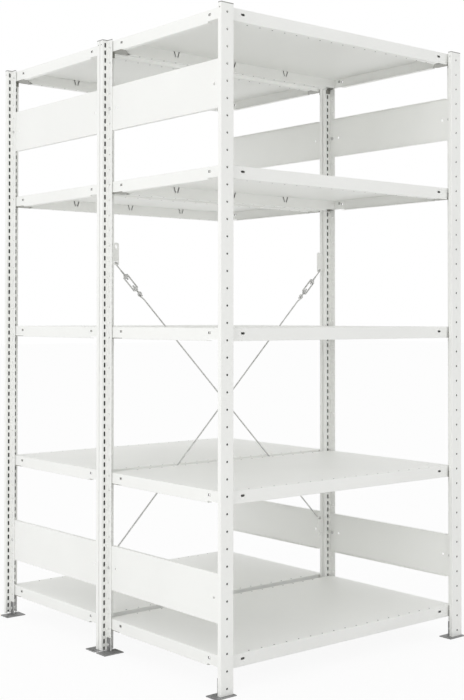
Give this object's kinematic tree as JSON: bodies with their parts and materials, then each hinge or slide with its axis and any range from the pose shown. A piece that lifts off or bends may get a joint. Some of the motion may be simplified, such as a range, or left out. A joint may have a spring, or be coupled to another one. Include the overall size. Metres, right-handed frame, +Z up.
{
  "type": "double sided library shelving",
  "caption": "Steel shelving of two bays back to back: perforated T posts on foot plates, folded shelves on clips, cover strips at the ends and crossed tie rods.",
  "frame": {"origin": "middle of the bounding box at floor level", "axes": "+Z up; X along the shelves' length, with -X at the left end frames; -Y towards the front aisle and +Y towards the rear aisle"},
  "size_m": [1.09, 1.277, 2],
  "materials": {
    "post_paint": "smooth light grey powder coat",
    "panel_paint": "smooth light grey powder coat",
    "shelf_paint": "smooth light grey powder coat",
    "foot_steel": "dark zinc plate",
    "clip_steel": "galvanised sheet",
    "brace_steel": "light grey powder coat",
    "rod_steel": "zinc plated rod",
    "fastener_steel": "zinc plated"
  },
  "bodies": {
    "frame": {"post_front_aisle_left": "post_paint", "post_front_aisle_right": "post_paint", "post_front_inner_left": "post_paint", "post_front_inner_right": "post_paint", "post_rear_inner_left": "post_paint", "post_rear_inner_right": "post_paint", "post_rear_aisle_left": "post_paint", "post_rear_aisle_right": "post_paint", "post_webs": "post_paint", "foot_front_aisle_left": "foot_steel", "foot_front_aisle_right": "foot_steel", "foot_front_inner_left": "foot_steel", "foot_front_inner_right": "foot_steel", "foot_rear_inner_left": "foot_steel", "foot_rear_inner_right": "foot_steel", "foot_rear_aisle_left": "foot_steel", "foot_rear_aisle_right": "foot_steel", "clips_front_1": "clip_steel", "clips_front_2": "clip_steel", "clips_front_3": "clip_steel", "clips_front_4": "clip_steel", "clips_front_5": "clip_steel", "clips_rear_1": "clip_steel", "clips_rear_2": "clip_steel", "clips_rear_3": "clip_steel", "clips_rear_4": "clip_steel", "clips_rear_5": "clip_steel", "side_panel_upper_front_left": "panel_paint", "side_panel_upper_front_right": "panel_paint", "side_panel_upper_rear_left": "panel_paint", "side_panel_upper_rear_right": "panel_paint", "side_panel_lower_front_left": "panel_paint", "side_panel_lower_front_right": "panel_paint", "side_panel_lower_rear_left": "panel_paint", "side_panel_lower_rear_right": "panel_paint", "brace_plate_upper_left": "brace_steel", "brace_plate_upper_right": "brace_steel", "brace_plate_lower_left": "brace_steel", "brace_plate_lower_right": "brace_steel", "brace_hook_rod_a": "rod_steel", "brace_hook_rod_b": "rod_steel", "brace_eye_bolt_a": "rod_steel", "brace_eye_bolt_b": "rod_steel", "brace_long_rod_a": "rod_steel", "brace_long_rod_b": "rod_steel", "frame_screws": "fastener_steel", "frame_nuts": "fastener_steel", "turnbuckle_nuts": "fastener_steel"},
    "front_shelf_1": {"shelf_front_1": "shelf_paint"},
    "front_shelf_2": {"shelf_front_2": "shelf_paint"},
    "front_shelf_3": {"shelf_front_3": "shelf_paint"},
    "front_shelf_4": {"shelf_front_4": "shelf_paint"},
    "front_shelf_5": {"shelf_front_5": "shelf_paint"},
    "rear_shelf_1": {"shelf_rear_1": "shelf_paint"},
    "rear_shelf_2": {"shelf_rear_2": "shelf_paint"},
    "rear_shelf_3": {"shelf_rear_3": "shelf_paint"},
    "rear_shelf_4": {"shelf_rear_4": "shelf_paint"},
    "rear_shelf_5": {"shelf_rear_5": "shelf_paint"},
    "turnbuckle_frame_a": {"turnbuckle_a": "rod_steel"},
    "turnbuckle_frame_b": {"turnbuckle_b": "rod_steel"}
  },
  "joints": [
    {"name": "lift_front_shelf_1", "type": "slide", "parent": "frame", "child": "front_shelf_1", "axis": [0, 0, 1], "range_m": [0, 0.06]},
    {"name": "lift_front_shelf_2", "type": "slide", "parent": "frame", "child": "front_shelf_2", "axis": [0, 0, 1], "range_m": [0, 0.06]},
    {"name": "lift_front_shelf_3", "type": "slide", "parent": "frame", "child": "front_shelf_3", "axis": [0, 0, 1], "range_m": [0, 0.06]},
    {"name": "lift_front_shelf_4", "type": "slide", "parent": "frame", "child": "front_shelf_4", "axis": [0, 0, 1], "range_m": [0, 0.06]},
    {"name": "lift_front_shelf_5", "type": "slide", "parent": "frame", "child": "front_shelf_5", "axis": [0, 0, 1], "range_m": [0, 0.06]},
    {"name": "lift_rear_shelf_1", "type": "slide", "parent": "frame", "child": "rear_shelf_1", "axis": [0, 0, 1], "range_m": [0, 0.06]},
    {"name": "lift_rear_shelf_2", "type": "slide", "parent": "frame", "child": "rear_shelf_2", "axis": [0, 0, 1], "range_m": [0, 0.06]},
    {"name": "lift_rear_shelf_3", "type": "slide", "parent": "frame", "child": "rear_shelf_3", "axis": [0, 0, 1], "range_m": [0, 0.06]},
    {"name": "lift_rear_shelf_4", "type": "slide", "parent": "frame", "child": "rear_shelf_4", "axis": [0, 0, 1], "range_m": [0, 0.06]},
    {"name": "lift_rear_shelf_5", "type": "slide", "parent": "frame", "child": "rear_shelf_5", "axis": [0, 0, 1], "range_m": [0, 0.06]},
    {"name": "turn_turnbuckle_a", "type": "hinge", "parent": "frame", "child": "turnbuckle_frame_a", "pos_m": [-0.39162, 0.012, 1.20436], "axis": [0.703, 0, -0.7112], "continuous": true},
    {"name": "turn_turnbuckle_b", "type": "hinge", "parent": "frame", "child": "turnbuckle_frame_b", "pos_m": [0.41362, 0, 1.20436], "axis": [-0.703, 0, -0.7112], "continuous": true}
  ]
}
